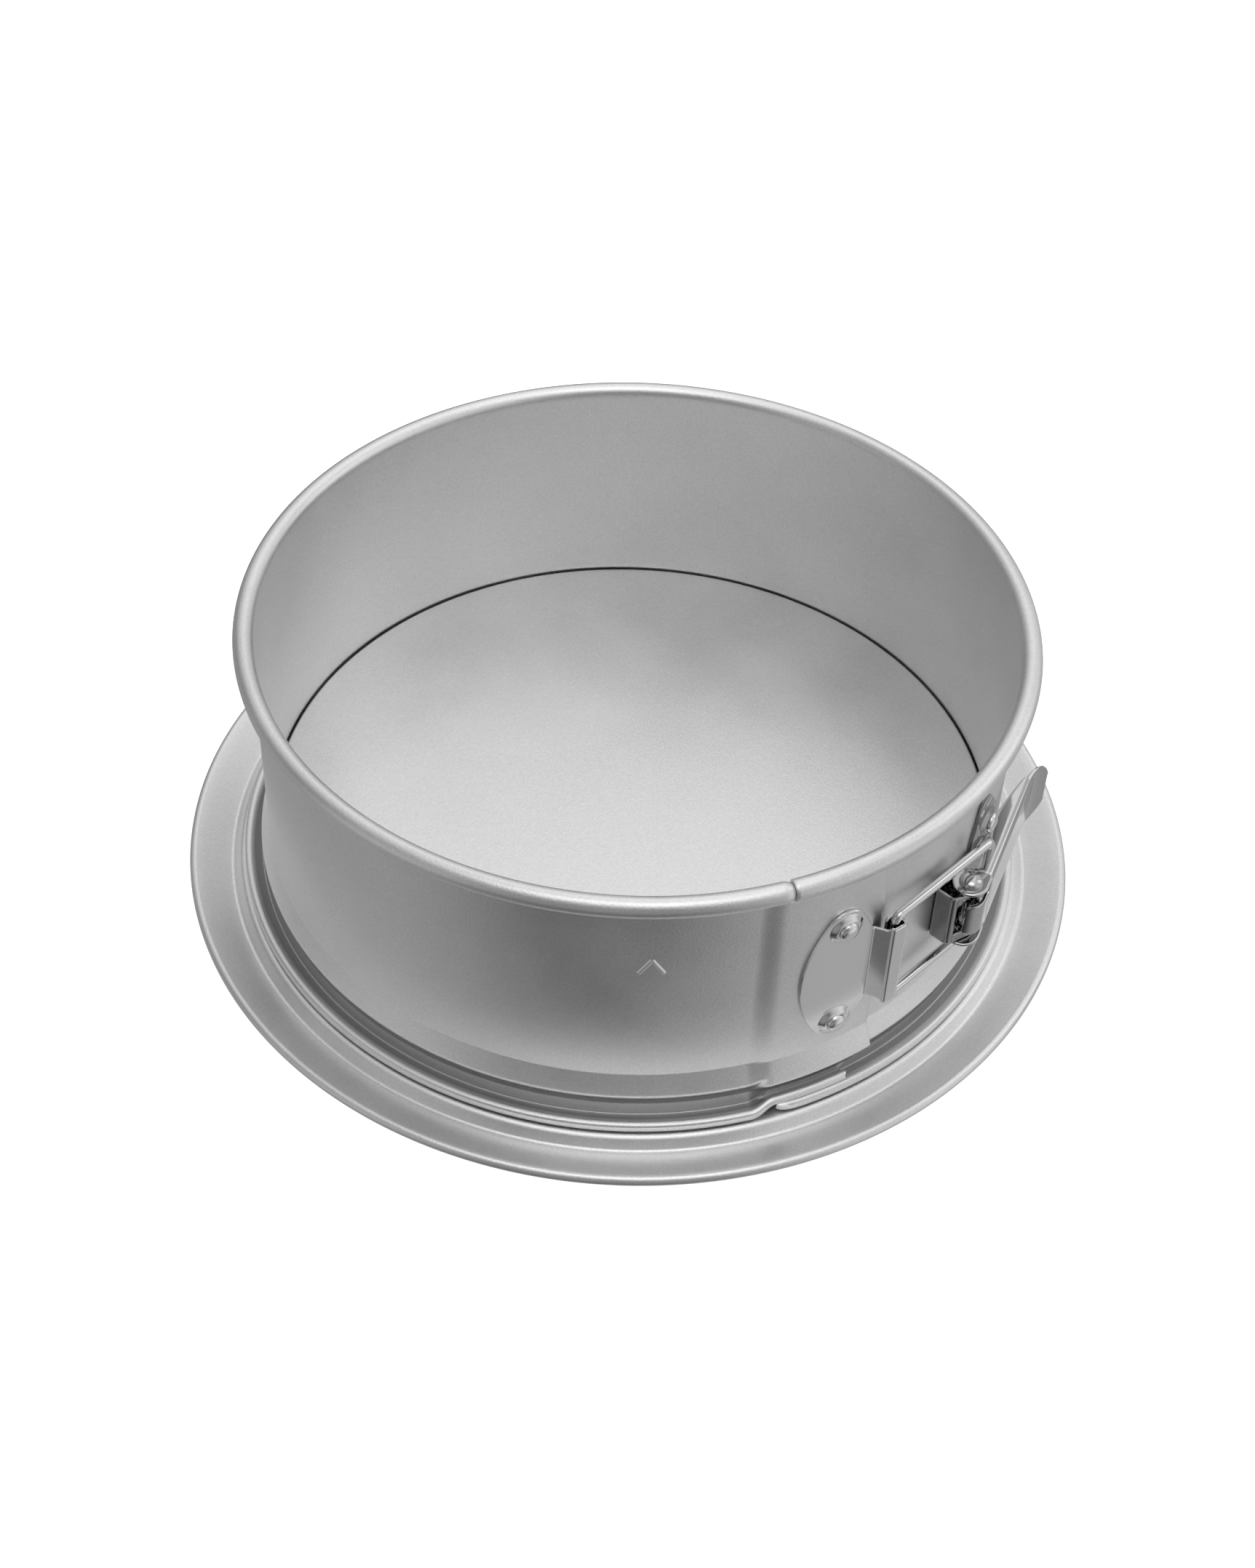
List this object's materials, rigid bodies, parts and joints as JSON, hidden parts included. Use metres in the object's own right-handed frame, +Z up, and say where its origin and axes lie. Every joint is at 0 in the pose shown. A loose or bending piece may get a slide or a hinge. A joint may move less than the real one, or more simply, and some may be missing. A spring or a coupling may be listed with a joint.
{
  "type": "springform pan",
  "caption": "Round springform cake pan: rolled side band with an over-centre lever latch and wire link, on a dished loose base with a wide brim.",
  "frame": {"origin": "centre of the pan, on the surface it stands on", "axes": "+Z up along the pan's axis; the latch faces -Y, with the wire link's end towards -X and the lever's tip towards +X"},
  "size_m": [0.283, 0.283, 0.0965],
  "materials": {
    "base_aluminium": "matte anodised",
    "band_aluminium": "matte anodised",
    "bracket_steel": "satin",
    "rivet_steel": "polished",
    "latch_steel": "polished",
    "wire_steel": "polished"
  },
  "bodies": {
    "base": {"base_plate": "base_aluminium"},
    "band_right": {"side_band_right": "band_aluminium", "lever_bracket": "bracket_steel", "lever_bracket_rivet_top": "rivet_steel", "lever_bracket_rivet_bottom": "rivet_steel"},
    "band_left": {"side_band_left": "band_aluminium", "link_bracket": "bracket_steel", "link_bracket_rivet_top": "rivet_steel", "link_bracket_rivet_bottom": "rivet_steel"},
    "link": {"wire_link": "wire_steel"},
    "lever": {"lever": "latch_steel", "pivot_pin": "latch_steel"}
  },
  "joints": [
    {"name": "ring_lift", "type": "slide", "parent": "base", "child": "band_right", "axis": [0, 0, 1], "range_m": [0, 0.11]},
    {"name": "lever_swing", "type": "hinge", "parent": "band_right", "child": "lever", "pos_m": [0.0119, -0.1217, 0.051], "axis": [0, 0, -1], "range_deg": [0, 120]},
    {"name": "band_open", "type": "hinge", "parent": "band_right", "child": "band_left", "pos_m": [0, 0.124, 0.051], "axis": [0, 0, -1], "range_deg": [0, 2.87]},
    {"name": "link_swing", "type": "hinge", "parent": "band_left", "child": "link", "pos_m": [-0.019, -0.1184, 0.051], "axis": [0, 0, -1], "range_deg": [0, 18.72]}
  ],
  "couplings": [
    {"joint": "band_open", "follows": "lever_swing", "ratio": 0.023885},
    {"joint": "link_swing", "follows": "lever_swing", "ratio": 0.15598}
  ]
}
